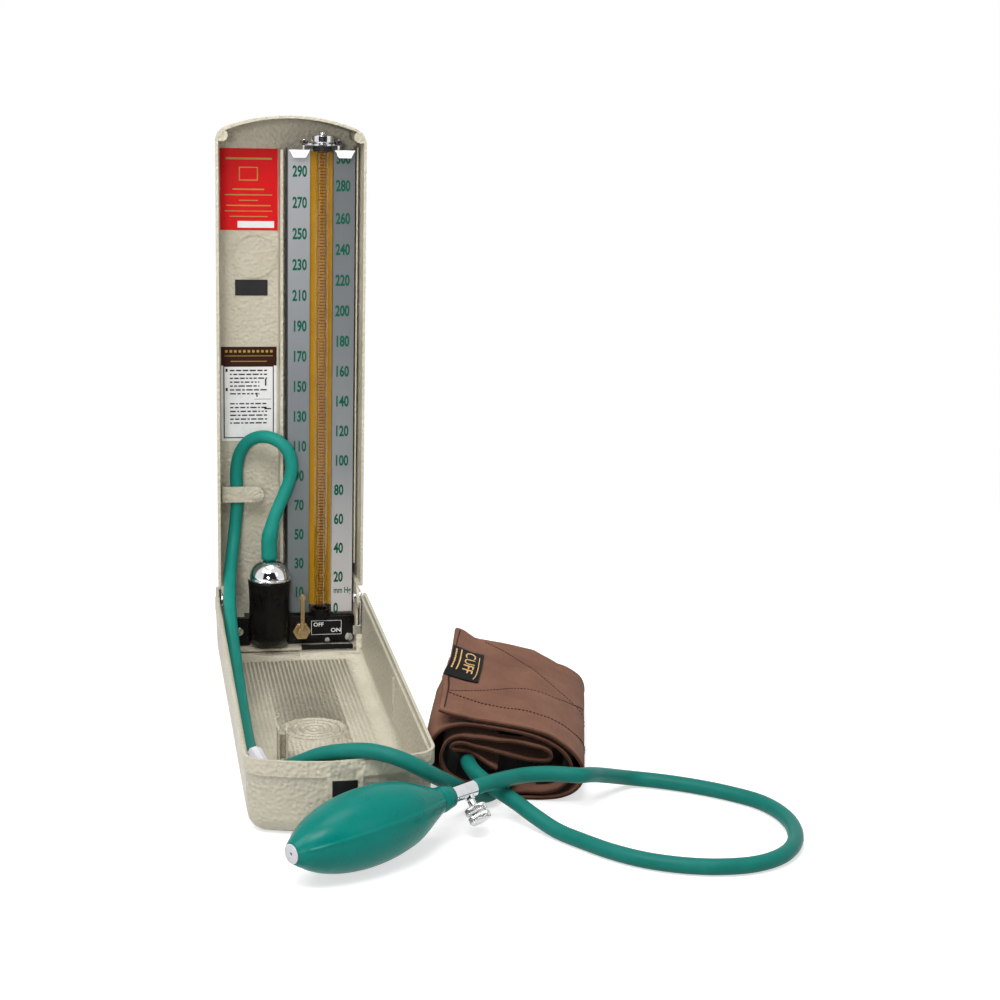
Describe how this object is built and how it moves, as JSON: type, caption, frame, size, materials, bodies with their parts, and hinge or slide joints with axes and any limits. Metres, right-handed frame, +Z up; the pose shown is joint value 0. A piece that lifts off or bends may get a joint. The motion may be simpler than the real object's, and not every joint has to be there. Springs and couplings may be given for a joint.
{
  "type": "mercury sphygmomanometer",
  "caption": "Portable blood pressure meter: mercury column and scale in a hinged lid over a long case, with rolled arm cuff, rubber bulb, release valve and hoses.",
  "frame": {"origin": "middle of the flat underside of the case", "axes": "+X right as seen by the user, +Y from the user to the hinge, +Z up"},
  "size_m": [0.2824, 0.4222, 0.3475],
  "materials": {
    "case_paint": "hammered beige-grey enamel",
    "black_paint": "gloss black enamel",
    "black_plastic": "moulded, satin",
    "bright_chrome": "bright",
    "steel": "bright drawn",
    "scale_metal": "anodised, printed",
    "yellow_paint": "gloss",
    "tube_glass": "clear",
    "mercury_metal": "liquid metal",
    "brass": "machined",
    "paper_red": "printed film",
    "paper_white": "printed film",
    "cuff_cloth": "woven, stitched",
    "cuff_tag": "woven label",
    "hose_rubber": "satin",
    "bulb_rubber": "moulded, gloss",
    "seal_rubber": "matte"
  },
  "bodies": {
    "base": {"tray_shell": "case_paint", "divider_post": "case_paint", "latch_spring": "steel", "latch_bracket": "case_paint", "stay_left": "bright_chrome", "stay_right": "bright_chrome", "hinge_pin_left": "bright_chrome", "hinge_pin_right": "bright_chrome", "cuff": "cuff_cloth", "cuff_bladder": "hose_rubber", "cuff_label": "cuff_tag", "tank_hose": "hose_rubber", "hose_connector": "scale_metal", "cuff_hose": "hose_rubber", "bulb_hose": "hose_rubber", "bulb": "bulb_rubber", "inlet_insert": "steel", "valve_body": "bright_chrome"},
    "lid": {"lid_shell": "case_paint", "tank_plate": "black_paint", "plate_gasket": "seal_rubber", "tank_body": "black_paint", "tank_gasket": "seal_rubber", "tank_cap": "bright_chrome", "mercury": "mercury_metal", "gland_nut": "brass", "scale_plate": "scale_metal", "tube_backing": "yellow_paint", "glass_tube": "tube_glass", "tube_seal": "seal_rubber", "tube_collar": "black_plastic", "top_clamp": "bright_chrome", "clamp_studs": "bright_chrome", "tube_cap": "bright_chrome", "plate_screws": "steel", "stop_pin": "steel", "hose_clip": "case_paint", "clip_screw": "case_paint", "red_label": "paper_red", "name_plate": "black_plastic", "instruction_label": "paper_white"},
    "tank_lock_lever": {"tank_lever": "brass"},
    "latch": {"latch_button": "black_plastic"},
    "knob": {"release_knob": "steel"},
    "inlet_check": {"inlet_disc": "seal_rubber"},
    "outlet_check": {"outlet_disc": "seal_rubber"}
  },
  "joints": [
    {"name": "lid_hinge", "type": "hinge", "parent": "base", "child": "lid", "pos_m": [0, 0.1375, 0.038], "axis": [1, 0, 0], "range_deg": [0, 90], "deforming": ["tank_hose", "cuff_hose"]},
    {"name": "tank_lock", "type": "hinge", "parent": "lid", "child": "tank_lock_lever", "pos_m": [0.0072, 0.1375, 0.0154], "axis": [0, 1, 0], "range_deg": [0, 90]},
    {"name": "latch_press", "type": "slide", "parent": "base", "child": "latch", "axis": [0, 1, 0], "range_m": [0, 0.0025], "stiffness_N_per_m": 400, "springref_m": -0.002, "deforming": ["latch_spring"]},
    {"name": "release_turn", "type": "hinge", "parent": "base", "child": "knob", "pos_m": [0.06234, -0.17584, 0.02347], "axis": [0.3785, -0.5365, -0.7542], "range_deg": [0, 300]},
    {"name": "inlet_lift", "type": "slide", "parent": "base", "child": "inlet_check", "axis": [0.8391, 0.5428, 0.0349], "range_m": [0, 0.0008]},
    {"name": "outlet_lift", "type": "slide", "parent": "base", "child": "outlet_check", "axis": [0.8391, 0.5428, 0.0349], "range_m": [0, 0.0008]}
  ]
}
